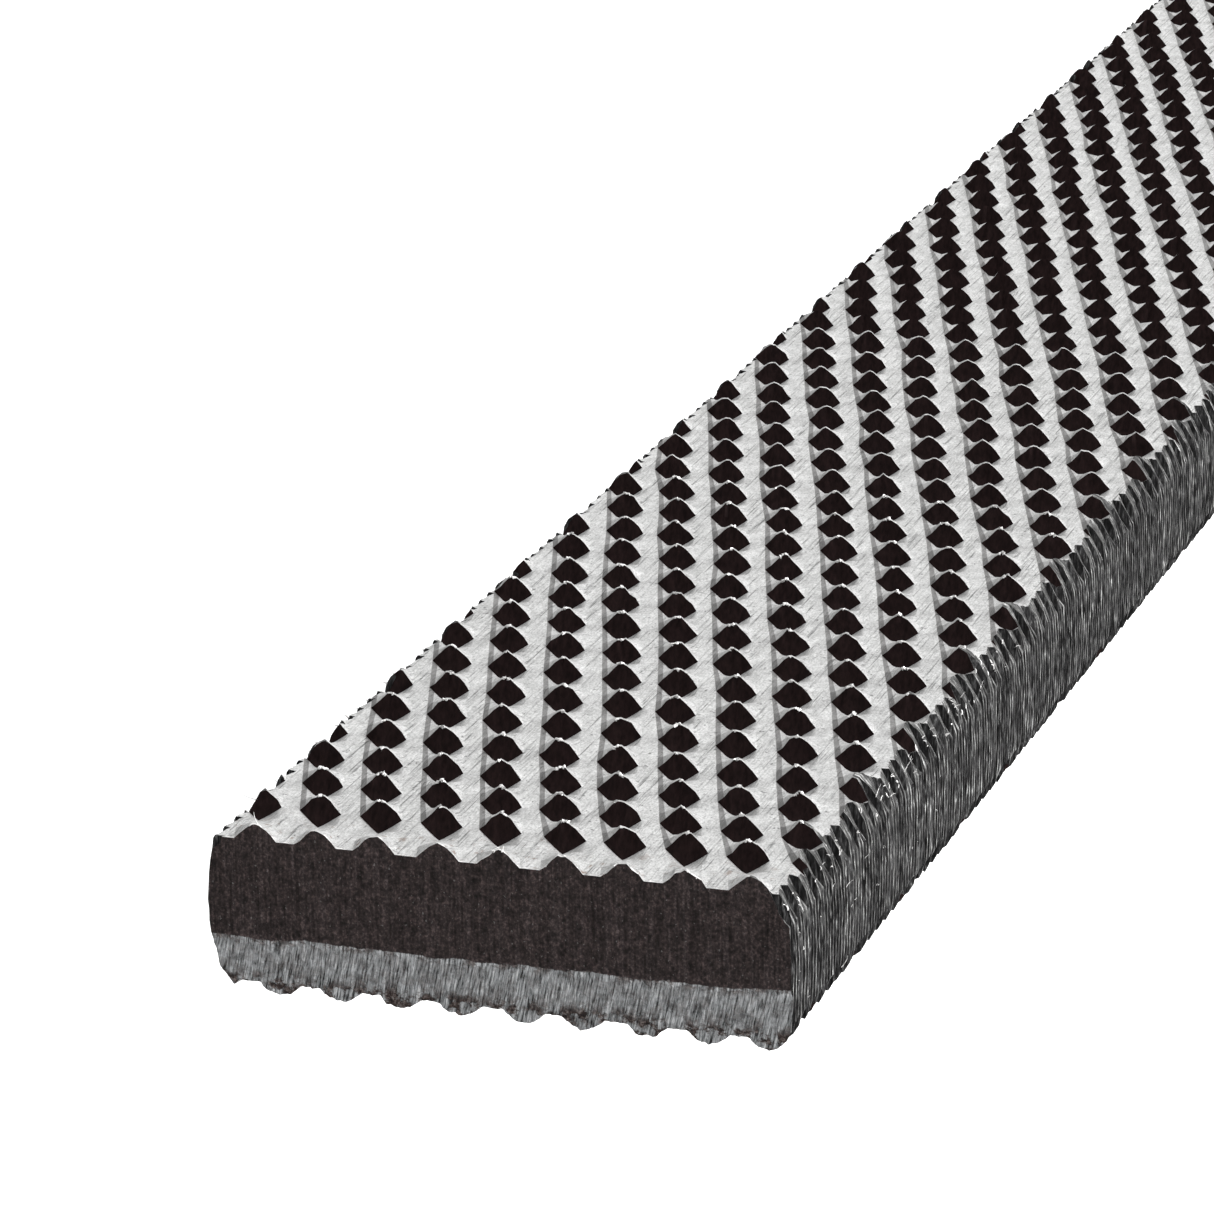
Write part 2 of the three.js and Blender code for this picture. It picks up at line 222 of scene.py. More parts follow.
def combine(target, tool, operation):
    """Cuts target with tool, or joins it on, and deletes tool."""
    cut = target.modifiers.new("cut", "BOOLEAN")
    cut.operation = operation
    cut.solver = "MANIFOLD"
    cut.object = tool
    depsgraph = bpy.context.evaluated_depsgraph_get()
    mesh = bpy.data.meshes.new_from_object(target.evaluated_get(depsgraph))
    target.modifiers.clear()
    target.data = mesh
    bpy.data.objects.remove(tool)


def weld(quads, finishes):
    """Points, faces and finishes of a sheet from quads that each hold their own copy of shared corners."""
    corners = quads.reshape(-1, 3)
    keys = np.round(corners * 1e5).astype(np.int64)
    _, first, back = np.unique(keys, axis=0, return_index=True, return_inverse=True)
    faces = []
    kept_finishes = []
    for face, finish in zip(back.reshape(-1, 4).tolist(), finishes):
        corners_of_face = list(dict.fromkeys(face))
        if len(corners_of_face) > 2:
            faces.append(corners_of_face)
            kept_finishes.append(finish)
    return corners[first], faces, kept_finishes


def rim(faces):
    """The edges that only one face has."""
    edges = dict.fromkeys((a, b) for face in faces for a, b in zip(face, face[1:] + face[:1]))
    return [(a, b) for a, b in edges if (b, a) not in edges]


def walls(edges, count):
    """Quads from each edge to the same edge of a copy whose points are numbered count further on."""
    return [[a, b, b + count, a + count] for a, b in edges]


def thicken(points, faces, level):
    """Closes a sheet that faces up into a solid between it and a flat lid at the height level."""
    count = len(points)
    lid = points.copy()
    lid[:, 2] = level
    under = [face[::-1] for face in faces]
    over = [[k + count for k in face] for face in faces]
    return np.vstack([points, lid]), under + over + walls(rim(faces), count)


def grid_faces(rows, columns, closed=False):
    """Quads of a grid of points, row by row; closed joins the last column to the first."""
    faces = []
    for row in range(rows - 1):
        for column in range(columns if closed else columns - 1):
            after = (column + 1) % columns
            a = row * columns + column
            b = row * columns + after
            faces.append([a, b, b + columns, a + columns])
    return faces


def tube_faces(rings, count):
    """Faces of a closed tube of rings, with a flat face at each end."""
    last = (rings - 1) * count
    ends = [list(range(count)), [last + k for k in range(count)]]
    return grid_faces(rings, count, closed=True) + ends


def lathe(name, profile, segments=128, relief=None):
    """A solid of revolution, in millimetres, from (radius, along) points.

    A profile that starts and ends on the axis is solid; any other one closes on itself as a tube.
    relief(angle, along, radius) gives how far each point is moved out from the axis.
    """
    solid = profile[0][0] == 0
    rings = profile[1:-1] if solid else profile
    angles = np.linspace(0, 2 * np.pi, segments, endpoint=False)
    points = []
    for radius, along in rings:
        reach = np.full(segments, float(radius))
        if relief is not None:
            reach = reach + relief(angles, along, radius)
        points.append(np.c_[reach * np.cos(angles), np.full(segments, float(along)), reach * np.sin(angles)])
    points = np.vstack(points)
    faces = grid_faces(len(rings), segments, closed=True)
    last = (len(rings) - 1) * segments
    if solid:
        front = len(points)
        points = np.vstack([points, [[0, profile[0][1], 0], [0, profile[-1][1], 0]]])
    for k in range(segments):
        after = (k + 1) % segments
        if solid:
            faces.append([front, k, after])
            faces.append([front + 1, last + after, last + k])
        else:
            faces.append([last + after, last + k, k, after])
    return new_object(name, points, faces)


def turned(name, profile, segments=128, relief=None):
    return place(lathe(name, profile, segments, relief))


def line(start, end, steps):
    """Points from start up to, and not including, end."""
    return [tuple(np.array(start) + (np.array(end) - np.array(start)) * k / steps) for k in range(steps)]


def arc(centre, radius, first, last, steps):
    """Points of an arc in the (radius, along) plane, from angle first to angle last in degrees."""
    turns = np.radians(np.linspace(first, last, steps + 1))
    return [(centre[0] + radius * math.cos(t), centre[1] + radius * math.sin(t)) for t in turns]


def smoothstep(value, low, high):
    t = np.clip((value - low) / (high - low), 0, 1)
    return t * t * (3 - 2 * t)


def beyond(value, start):
    """0 up to start, rising to 1 at 1."""
    return np.clip((value - start) / (1 - start), 0, 1)


def zigzag(turns):
    """1 at whole numbers, 0 halfway between them."""
    return np.abs((turns % 1) - 0.5) * 2


# ---- the blank: toothed blade, sheared tip, neck and shank ----

def crest_rise(s, power, hollow):
    """Height of a tooth's section over its groove: 1 at the crest, 0 at its flanks' feet, s = -1 and 1."""
    full = 1 - np.abs(s) ** power
    hollowed = smoothstep(1 - np.abs(s), 0, 1)
    return np.where(s < 0, full + (hollowed - full) * hollow, full)


def row_place(row):
    """Distance of a row of crests from the tip."""
    if row <= 0:
        return row * ROW_PITCH + TIP_ROW_SHIFT
    return row * ROW_PITCH + ROW_SHIFT + max(0, LATE_STROKE - LATE_FADE * row)


def strip(lines):
    """Quads between lines that each have the same number of points."""
    stack = np.array(lines)
    corners = [stack[:-1, :-1], stack[:-1, 1:], stack[1:, 1:], stack[1:, :-1]]
    return np.stack(corners, axis=2).reshape(-1, 4, 3)


def line_between(start, end, share, drop):
    """A line the given share of the way from start to end, and by drop of the way in height."""
    mixed = start + (end - start) * share
    mixed[:, 2] = start[:, 2] + (end[:, 2] - start[:, 2]) * drop
    return mixed


def toothed_sheet(rng, first_crest, power, hollow, least_wear, detailed_length):
    """A double-cut face with its crests just under z = 0: its quads, their finishes, and the crest lines."""
    s = np.array(TOOTH_STEPS)
    across = np.where(s < 0, s * TOOTH_LEFT, s * TOOTH_RIGHT)
    rise = crest_rise(s, power, hollow)
    sink = 1 - np.abs(s) ** PIT_POWER
    rows = range(FIRST_ROW, int((BLADE_LENGTH + SHEET_OVERRUN) / ROW_PITCH) + 1)
    row_slip = {row: rng.normal(0, ROW_SPREAD) if row > 0 else 0.0 for row in range(FIRST_ROW, rows[-1] + 2)}
    tooth_slips = {}

    def crest(column, row):
        """Place of a crest across and along, and how much it is worn down."""
        if (column, row) not in tooth_slips:
            tooth_slips[(column, row)] = rng.normal(0, 1, 3 + 2 * len(s))
        slip = tooth_slips[(column, row)]
        x = first_crest + column * COLUMN_PITCH + row * COLUMN_LEAN + TOOTH_SPREAD[0] * slip[0]
        x -= TIP_DRAG if row > 0 else 0
        skew = ROW_SKEW * min(max(row, 0), SKEWED_ROW) / SKEWED_ROW
        columns_over = column + row * COLUMN_LEAN / COLUMN_PITCH
        y = row_place(row) + columns_over * skew + row_slip[row] + TOOTH_SPREAD[1] * slip[1]
        return x, y, least_wear + WEAR_SPREAD * abs(slip[2])

    def crest_line(column, row):
        x, y, wear = crest(column, row)
        ragged = tooth_slips[(column, row)][3:].reshape(2, -1) * BURR * (np.abs(s) < 1)
        height = -GROOVE_DEPTH + (GROOVE_DEPTH - wear) * rise
        return np.c_[x + across, y - FACE_SWEEP * np.abs(s) + ragged[0], height + ragged[1]]

    def foot_line(column, row):
        x, y, _ = crest(column, row)
        ahead = FACE_RAKE + (FACE_SWEEP - FACE_RAKE) * np.abs(s)
        return np.c_[x + across, y - ahead, -GROOVE_DEPTH - (PIT_DEPTH - GROOVE_DEPTH) * sink]

    quads = []
    finishes = []
    crests = []
    for row in rows:
        fine = row_place(row) < detailed_length
        back_steps = BACK_STEPS if fine else (BACK_STEPS[0], BACK_STEPS[-1])
        face_steps = (0, 0.5, 1) if fine else (0, 1)
        start = math.floor((-WIDTH / 2 - SHEET_MARGIN - first_crest - row * COLUMN_LEAN) / COLUMN_PITCH)
        end = math.ceil((WIDTH / 2 + SHEET_MARGIN - first_crest - row * COLUMN_LEAN) / COLUMN_PITCH)
        for column in range(start, end + 1):
            foot = foot_line(column, row)
            top = crest_line(column, row)
            behind = foot_line(column, row + 1)
            quads.append(strip([foot + (top - foot) * share for share in face_steps]))
            # painted shade: each tooth's front face, turned away from the light, is coloured near-black
            finishes += [TOOTH_FACE] * len(quads[-1])
            quads.append(strip([line_between(top, behind, share, drop) for share, drop in back_steps]))
            # painted shade: behind the first row, the left flanks take a darker copy of the cut steel,
            # standing in for the shade they lie in
            flank = SHADED_FLANK if row > 0 else BRIGHT
            across_back = [flank if middle < FLANK_EDGE else BRIGHT for middle in (s[1:] + s[:-1]) / 2]
            finishes += across_back * (len(back_steps) - 1)
            inside = abs(top[len(s) // 2, 0]) < WIDTH / 2 - BURRED_INSET
            if row > 0 and row_place(row) < BURRED_LENGTH and inside:
                crests.append(top[np.abs(s) < BURRED_SHARE])
            beside = crest_line(column + 1, row)
            beside_behind = foot_line(column + 1, row + 1)
            floor = np.array([top[-1], beside[0]])
            floor_end = np.array([behind[-1], beside_behind[0]])
            quads.append(strip([floor + (floor_end - floor) * share for share, _ in back_steps]))
            finishes += [BRIGHT] * len(quads[-1])
    sheet = np.concatenate(quads)
    depth = 1 - smoothstep(sheet[..., 1], BLADE_LENGTH - CUT_FADE, BLADE_LENGTH - CUT_END)
    sheet[..., 2] *= depth
    return sheet, finishes, crests


def cutter_above(name, sheet, finishes, turn_over=False):
    """The solid above a toothed face; turned over, it cuts the underside."""
    points, faces, finishes = weld(sheet, finishes)
    points[:, 2] += THICKNESS / 2 + (UNDERSIDE_LIFT if turn_over else 0)
    points, faces = thicken(points, faces, THICKNESS / 2 + CUTTER_HEIGHT)
    finishes += [BRIGHT] * (len(faces) - len(finishes))
    if turn_over:
        points[:, 0] *= -1
        points[:, 2] *= -1
    return new_object(name, points, faces, finishes)


def bar_section():
    """The bar's section, anticlockwise from the middle of its right edge.

    Each point is (across, height, outward across, outward up, share of the edge cut it takes).
    """
    points = []
    for side, up in ((1, 1), (-1, 1), (-1, -1), (1, -1)):
        radius = CORNER_RADII[(side, up)]
        straight = THICKNESS / 2 - radius
        edge_top = WIDTH / 2 - EDGE_BULGE[side]
        quarter = []
        for share in FLAT_SHARES:
            bulge = EDGE_BULGE[side] * share * share
            quarter.append((side * (WIDTH / 2 - bulge), up * straight * share, side, 0, 1))
        for turn in np.radians(CORNER_TURNS):
            across = edge_top - radius * (1 - math.cos(turn))
            height = straight + radius * math.sin(turn)
            cut = 1 + (CORNER_CUT[up] - 1) * math.sin(2 * turn)
            cut *= 1 - float(smoothstep(turn, *CORNER_FADE))
            quarter.append((side * across, up * height, side * math.cos(turn), up * math.sin(turn), cut))
        inset, height = BAR_SHOULDER
        quarter.append((side * (edge_top - radius - inset), up * (THICKNESS / 2 + height), 0, 0, 0))
        points += quarter if side == up else quarter[::-1]
    return np.array(points)


def serrated_bar():
    """The bar before its faces are cut: its narrow edges carry a single cut that wraps over the corners."""
    rng = random_for("edge_cut")
    section = bar_section()
    outward = section[:, 2:4]
    share = section[:, 4]
    on_flat = (outward[:, 1] == 0) & (share == 1)
    count = len(section)
    rings = [np.c_[section[:, 0], np.full(count, -BAR_OVERRUN), section[:, 1]]]
    finishes = []
    for ridge in range(FIRST_RIDGE, int((BLADE_LENGTH - EDGE_CUT_END) / EDGE_PITCH)):
        along = ridge * EDGE_PITCH + rng.uniform(-EDGE_PLACE_SPREAD, EDGE_PLACE_SPREAD)
        depth = EDGE_DEPTH * rng.uniform(*EDGE_DEPTH_RANGE)
        lean = rng.normal(0, EDGE_LEAN_SPREAD)
        wander = rng.normal(0, EDGE_WANDER, count)
        detailed = along < DETAILED_LENGTH
        # From a ridge the steel falls gently backwards, then the steep front of the next ridge rises.
        steps = EDGE_PLAIN_STEPS
        if detailed:
            lines = range(EDGE_LINES)
            steps = [((k + step) / EDGE_LINES, cut) for k in lines for step, cut in EDGE_LINE_STEPS]
        for step, cut in steps:
            rough = rng.normal(0, EDGE_ROUGHNESS, count) if detailed else 0
            line_depth = EDGE_LINE_DEPTH * cut * rng.uniform(*EDGE_LINE_RANGE)
            inwards = np.where(on_flat, line_depth, depth * step * share) + rough * share
            y = along + step * EDGE_PITCH + lean * section[:, 1] + wander
            ring = np.c_[section[:, 0] - outward[:, 0] * inwards, y, section[:, 1] - outward[:, 1] * inwards]
            ring[:, 1] = np.maximum(ring[:, 1], rings[-1][:, 1] + LEAST_RING_GAP)
            rings.append(ring)
            # painted shade: the narrow edges and the steep fronts of their cut take dark colours for the
            # shade they stand in
            finishes += [EDGE_FACE if cut == 0 else NARROW_EDGE] * count
    for along in (BLADE_LENGTH - EDGE_PLAIN_START, BLADE_LENGTH + BAR_TAIL):
        rings.append(np.c_[section[:, 0], np.full(count, along), section[:, 1]])
        finishes += [NARROW_EDGE] * count
    finishes += [NARROW_EDGE] * 2
    return new_object("file_blade", np.vstack(rings), tube_faces(len(rings), count), finishes)


def shear_line(x):
    """Height of the line on the tip between the burnished upper zone and the rough lower zone."""
    return SHEAR_HEIGHT + SHEAR_SLOPE * x + SHEAR_CURVE * x * x


def tip_cutter():
    """The block that cuts off the tip: smooth above the shear line, broken and receding below it."""
    rng = random_for("tip")
    columns, rows = TIP_GRID
    x = np.linspace(-WIDTH / 2 - TIP_OVERRUN, WIDTH / 2 + TIP_OVERRUN, columns)
    z = np.linspace(THICKNESS / 2 + TIP_OVERRUN, -THICKNESS / 2 - TIP_OVERRUN, rows)
    across, height = np.meshgrid(x, z)
    streaks = rng.normal(0, 1, (TIP_STREAK_BLOCKS, columns))
    rough = rng.normal(0, 1, (rows, columns))
    blocks = np.linspace(0, TIP_STREAK_BLOCKS - 1, rows)
    block_places = range(TIP_STREAK_BLOCKS)
    streak = np.array([[np.interp(b, block_places, streaks[:, c]) for c in range(columns)] for b in blocks])
    depth = shear_line(across) - height
    below = np.clip(depth / TIP_BLEND, 0, 1)
    recess = TORN_STEP * below + TORN_RAKE * np.clip(depth, 0, None)
    torn = below * (TORN_STREAKS * streak + TORN_GRAIN * rough)
    relief = recess + torn + (1 - below) * BURNISHED_STREAKS * streak
    surface = np.stack([across, relief, height], axis=2).reshape(-1, 3)
    back = surface.copy()
    back[:, 1] = -TIP_CUT_LENGTH
    faces = grid_faces(rows, columns)
    count = len(surface)
    lid = [[k + count for k in face] for face in faces]
    closed = faces + walls(sorted(rim(faces)), count) + lid
    return new_object("tip_cutter", np.vstack([surface, back]), closed, TIP)


def neck_and_shank():
    """From the blade's rounded rectangle to the round shank, with a chamfered end."""
    segments = 64
    angles = np.linspace(0, 2 * np.pi, segments, endpoint=False)
    overlap = 0.6
    stations = [(BLADE_LENGTH - overlap, 0.0, 1.0), (BLADE_LENGTH, 0.0, 1.0)]
    for t in np.linspace(0.05, 1, 20):
        stations.append((BLADE_LENGTH + NECK_LENGTH * t, float(smoothstep(t, 0, 1)), 1.0))
    stations += [(BLANK_LENGTH - from_end, 1.0, scale) for from_end, scale in SHANK_END]
    rings = []
    for along, roundness, scale in stations:
        power = 2 / (NECK_SQUARENESS * (1 - roundness) + 2 * roundness)
        half_x = (WIDTH / 2 - NECK_INSET[0]) * (1 - roundness) + SHANK_RADIUS * roundness
        half_z = (THICKNESS / 2 - NECK_INSET[1]) * (1 - roundness) + SHANK_RADIUS * roundness
        x = np.sign(np.cos(angles)) * np.abs(np.cos(angles)) ** power * half_x * scale
        z = np.sign(np.sin(angles)) * np.abs(np.sin(angles)) ** power * half_z * scale
        rings.append(np.c_[x, np.full(segments, along), z])
    return new_object("neck_and_shank", np.vstack(rings), tube_faces(len(rings), segments), SHANK)


def make_blank(materials):
    """The whole blank as one solid; returns the slivers of burr that stand on it."""
    blade = serrated_bar()
    upper, upper_finishes, crests = toothed_sheet(
        random_for("upper_cut"), UPPER_FIRST_CREST, CREST_POWER, LEFT_HOLLOW, 0.0, DETAILED_LENGTH)
    lower, lower_finishes, _ = toothed_sheet(
        random_for("lower_cut"), UNDERSIDE_FIRST_CREST, UNDERSIDE_CREST_POWER, 0.0, UNDERSIDE_WEAR,
        UNDERSIDE_DETAILED_LENGTH)
    combine(blade, cutter_above("upper_cut", upper, upper_finishes), "DIFFERENCE")
    combine(blade, cutter_above("lower_cut", lower, lower_finishes, turn_over=True), "DIFFERENCE")
    combine(blade, tip_cutter(), "DIFFERENCE")
    combine(blade, neck_and_shank(), "UNION")
    blade.name = "file_blade"
    for slot, material in enumerate(materials):
        blade.data.materials[slot] = material
    smooth(blade, 24)
    slivers = crest_burrs(random_for("crests"), crests)
    slivers += edge_hairs(random_for("hairs"), blade)
    slivers += tip_rim(random_for("tip_rim"), blade)
    place(blade)
    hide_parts("file_blank")
    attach(blade, "blank")
    return slivers


# ---- burrs: slivers of steel, each a path in millimetres and a radius for each of its points ----

def crest_burrs(rng, crests):
    """Ragged rims that the second cut pushed up along the crests; their brightness is painted highlight from
    the burr material.
    """
    roughness = 0.006
    lift = 0.002
    slivers = []
    for crest in crests:
        for _ in range(rng.randint(1, 4)):
            steps = rng.randint(4, 7)
            start = rng.uniform(0.15, 0.55)
            places = (start + np.linspace(0, rng.uniform(0.12, 0.3), steps)).clip(0, 1) * (len(crest) - 1)
            path = np.stack([np.interp(places, range(len(crest)), crest[:, k]) for k in range(3)], axis=1)
            path += rng.normal(0, roughness, (steps, 3))
            path[:, 2] += THICKNESS / 2 + lift
            radii = rng.uniform(0.009, 0.021, steps)
            radii[[0, -1]] *= 0.4
            slivers.append(([Vector(point) for point in path], radii))
    return slivers


def tip_rim(rng, blade):
    """A thin broken burr along the upper edge of the tip."""
    step = 0.03
    behind_edge = 0.012
    edge = []
    for x in np.arange(-WIDTH / 2 + 0.2, WIDTH / 2 - 0.35, step):
        hit, surface, _, _ = blade.ray_cast(Vector((x, behind_edge, THICKNESS)), Vector((0, 0, -1)))
        if hit:
            edge.append(surface)
    slivers = []
    start = 0
    longest = 8
    while start < len(edge) - longest:
        count = rng.randint(3, longest)
        path = [point + Vector(rng.normal(0, 0.003, 3)) for point in edge[start:start + count]]
        radii = rng.uniform(0.003, 0.01, count)
        radii[[0, -1]] *= 0.4
        slivers.append((path, radii))
        start += count + rng.randint(-1, 3)
    return slivers


def hair_roots(rng):
    """Where the hairs of steel near the tip grow from, and which way each of them leans."""
    top = THICKNESS / 2
    side = WIDTH / 2
    upper_corner_hairs = 70
    tip_hairs = 16
    right_edge_hairs = 40
    left_edge_hairs = 30
    roots = []
    for _ in range(upper_corner_hairs):
        roots.append(((side, rng.uniform(0.0, 8), top - rng.uniform(0.15, 0.4)), (-0.4, -0.2, 1.0)))
    for _ in range(tip_hairs):
        roots.append(((rng.uniform(-2.6, 2.6), -0.1, top + 0.2), (0.2, 0.1, 0.6)))
    for _ in range(right_edge_hairs):
        roots.append(((side, rng.uniform(0.0, 5), rng.uniform(-0.7, 0.3)), (-0.6, -0.1, 1.6)))
    for _ in range(left_edge_hairs):
        roots.append(((-side, rng.uniform(0.0, 6), top - 0.15), (-0.6, -0.2, 0.6)))
    return roots


def edge_hairs(rng, blade):
    """Short hairs and flakes of steel on the corners and edges near the tip, rooted in the blade."""
    root_depth = 0.01
    taper = np.array([1, 1, 0.85, 0.7, 0.5, 0.2])
    steps = len(taper) - 1
    slivers = []
    for root, leaning in hair_roots(rng):
        _, surface, normal, _ = blade.closest_point_on_mesh(Vector(root))
        way = (Vector(leaning) + normal + Vector(rng.normal(0, 0.3, 3))).normalized()
        bend = Vector(rng.normal(0, 1, 3)).cross(way).normalized() * rng.uniform(0.1, 0.5)
        long_one = rng.uniform() > 0.9
        length = rng.uniform(0.12, 0.24) if long_one else rng.uniform(0.03, 0.08)
        thick = 0.005 if long_one else rng.uniform(0.005, 0.01)
        path = [surface - normal * root_depth]
        for _ in range(steps):
            path.append(path[-1] + way * length / steps)
            way = (way + bend).normalized()
        slivers.append((path, thick * taper))
    return slivers


def add_sliver(points, faces, path, radii):
    """Adds a thin flattened tube along a path to the lists of points and faces."""
    sides = 5
    flatness = 0.7
    base = len(points)
    for k, at in enumerate(path):
        way = (path[min(k + 1, len(path) - 1)] - path[max(k - 1, 0)]).normalized()
        side_way = way.orthogonal().normalized()
        other_way = way.cross(side_way)
        for corner in range(sides):
            turn = 2 * math.pi * corner / sides
            outwards = side_way * math.cos(turn) + other_way * flatness * math.sin(turn)
            points.append(at + outwards * float(radii[k]))
    faces += [[base + k for k in face] for face in tube_faces(len(path), sides)]


def make_burrs(material, slivers):
    points = []
    faces = []
    for path, radii in slivers:
        add_sliver(points, faces, path, radii)
    # the burr material paints all slivers near-white, as highlight
    burrs = smooth(place(new_object("edge_burrs", [tuple(point) for point in points], faces)), 60)
    burrs.data.materials.append(material)
    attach(burrs, "blank")


# ---- materials ----

class Nodes:
    """A short way to build one material's nodes."""

    def __init__(self, name):
        self.material = bpy.data.materials.new(name)
        self.material.use_nodes = True
        self.tree = self.material.node_tree
        self.shader = self.tree.nodes["Principled BSDF"]
        self.coordinates = self.tree.nodes.new("ShaderNodeTexCoord").outputs["Object"]

    def node(self, kind, **inputs):
        made = self.tree.nodes.new(kind)
        for key, value in inputs.items():
            self.feed(made.inputs[key.replace("_", " ")], value)
        return made

    def feed(self, socket, value):
        if isinstance(value, bpy.types.NodeSocket):
            self.tree.links.new(value, socket)
        else:
            socket.default_value = value

    def noise(self, scale, detail=3.0, roughness=0.55, turn=0.0):
        """Noise with scale's cycles per metre along X, Y, Z; turn leans it across the blade, in radians."""
        mapping = self.tree.nodes.new("ShaderNodeMapping")
        mapping.inputs["Scale"].default_value = scale
        self.feed(mapping.inputs["Vector"], self.coordinates)
        if turn:
            lean = self.node("ShaderNodeVectorRotate", Vector=self.coordinates, Angle=turn)
            lean.rotation_type = "Y_AXIS"
            self.feed(mapping.inputs["Vector"], lean.outputs["Vector"])
        vector = mapping.outputs["Vector"]
        made = self.node("ShaderNodeTexNoise", Vector=vector, Scale=1.0, Detail=detail, Roughness=roughness)
        return made.outputs["Fac"]

    def height_over_shear_line(self, waver):
        """0.5 on the line between the tip's two zones, rising by 1 in each millimetre upwards."""
        split = self.node("ShaderNodeSeparateXYZ", Vector=self.coordinates)
        across = self.maths("DIVIDE", split.outputs["X"], MM)
        slope = self.maths("ADD", self.maths("MULTIPLY", across, SHEAR_CURVE), SHEAR_SLOPE)
        line_height = self.maths("ADD", self.maths("MULTIPLY", across, slope), SHEAR_HEIGHT + AXIS_Z / MM)
        height = self.maths("SUBTRACT", self.maths("DIVIDE", split.outputs["Z"], MM), line_height)
        waves = self.maths("MULTIPLY", self.maths("SUBTRACT", waver, 0.5), SHEAR_WAVES)
        return self.maths("ADD", self.maths("ADD", height, waves), 0.5)

    def ramp(self, factor, *stops):
        """stops are (position, grey value or colour)."""
        made = self.tree.nodes.new("ShaderNodeValToRGB")
        self.feed(made.inputs["Fac"], factor)
        elements = made.color_ramp.elements
        while len(elements) < len(stops):
            elements.new(0.5)
        for element, (position, value) in zip(elements, stops):
            element.position = position
            colour = (value, value, value) if isinstance(value, (int, float)) else value
            element.color = (*colour, 1)
        return made.outputs["Color"]

    def mix(self, factor, a, b, blend="MIX"):
        made = self.tree.nodes.new("ShaderNodeMix")
        made.data_type = "RGBA"
        made.blend_type = blend
        self.feed(made.inputs[0], factor)
        for socket, value in ((made.inputs[6], a), (made.inputs[7], b)):
            self.feed(socket, (*value, 1) if isinstance(value, tuple) else value)
        return made.outputs[2]

    def darken(self, amount, colour, pattern):
        return self.mix(amount, colour, pattern, "MULTIPLY")

    def maths(self, operation, a, b):
        made = self.tree.nodes.new("ShaderNodeMath")
        made.operation = operation
        self.feed(made.inputs[0], a)
        self.feed(made.inputs[1], b)
        return made.outputs[0]

    def bump(self, height, strength, distance=0.00001):
        made = self.node("ShaderNodeBump", Height=height, Strength=strength, Distance=distance)
        return made.outputs["Normal"]

    def finish(self, colour, metallic, roughness, normal):
        self.feed(self.shader.inputs["Base Color"], colour)
        self.feed(self.shader.inputs["Metallic"], metallic)
        self.feed(self.shader.inputs["Roughness"], roughness)
        self.feed(self.shader.inputs["Normal"], normal)
        return self.material


def cut_steel(name, light, dark):
    """Freshly cut steel: fine scratches along the blade, small dark pits, and rust crumbs by the tip."""
    n = Nodes(name)
    scratches = n.noise((46000, 1300, 12000), 4.0, 0.66)
    lines = n.ramp(scratches, (0.33, 0.12), (0.4, 0.7), (0.46, 0.93), (0.52, 1.0))
    pits = n.ramp(n.noise((21000, 19000, 21000), 2.0, 0.5), (0.28, 0.2), (0.34, 1.0))
    grain = n.ramp(n.noise((64000, 40000, 64000), 1.0, 0.5), (0.3, 0.72), (0.5, 1.0), (0.7, 1.2))
    colour = n.ramp(n.noise((5000, 4000, 5000), 4.0, 0.6), (0.3, dark), (0.7, light))
    colour = n.darken(0.8, colour, lines)
    colour = n.darken(1.0, colour, grain)
    colour = n.darken(0.8, colour, pits)
    split = n.node("ShaderNodeSeparateXYZ", Vector=n.coordinates)
    from_tip = n.maths("DIVIDE", n.maths("SUBTRACT", split.outputs["Y"], TIP_Y), MM)
    near_tip = n.ramp(from_tip, (0.15, 1.0), (0.95, 0.0))
    crumbs = n.ramp(n.noise((9000, 6000, 9000), 4.0, 0.65), (0.58, 0.0), (0.66, 0.9))
    colour = n.mix(n.maths("MULTIPLY", crumbs, near_tip), colour, (0.17, 0.1, 0.065))
    dullness = n.ramp(scratches, (0.3, 0.6), (0.7, 0.42))
    relief = n.bump(scratches, 0.5, 0.000006)
    return n.finish(colour, 0.55, dullness, relief)


def burr_steel_painted_glint():
    """Raw metal of the burrs, partly painted highlight: real slivers given a near-white colour that stands in
    for the glints on them.
    """
    n = Nodes("burrs_painted_highlight")
    grain = n.noise((40000, 40000, 40000), 2.0, 0.5)
    colour = n.ramp(grain, (0.3, (0.6, 0.59, 0.58)), (0.6, (0.95, 0.94, 0.93)))
    return n.finish(colour, 0.3, 0.4, n.bump(grain, 0.2, 0.000004))


def shaded_tooth_face_steel():
    """The steep front of each tooth, torn by the chisel; its near-black colour is painted shade and dark
    reflection, for faces turned away from the light.
    """
    n = Nodes("tooth_face_painted_shade")
    grain = n.noise((24000, 24000, 7000), 4.0, 0.6)
    colour = n.ramp(grain, (0.3, (0.008, 0.004, 0.004)), (0.75, (0.028, 0.015, 0.015)))
    n.shader.inputs["Specular IOR Level"].default_value = 0.1
    return n.finish(colour, 0.0, 0.6, n.bump(grain, 0.3, 0.000006))


def burnish_painted_dark(n, streaks):
    """The tip's upper zone: nearly black brown, which is painted dark reflection on the burnished steel,
    streaked upwards, gritty, with a few light specks.
    """
    brown = ((0.3, (0.014, 0.009, 0.0085)), (0.5, (0.027, 0.0185, 0.018)), (0.75, (0.04, 0.03, 0.03)))
    mottle = n.ramp(n.noise((14000, 14000, 11000), 4.0, 0.7), (0.3, 0.4), (0.5, 1.0), (0.75, 1.8))
    grit = n.ramp(n.noise((36000, 36000, 32000), 3.0, 0.7), (0.3, 0.4), (0.5, 0.95), (0.72, 2.4))
    specks = n.ramp(n.noise((34000, 34000, 30000), 1.0, 0.4), (0.71, 0.0), (0.78, 0.4))
    colour = n.darken(1.0, n.ramp(streaks, *brown), mottle)
    colour = n.darken(1.0, colour, grit)
    return n.mix(specks, colour, (0.2, 0.19, 0.19))


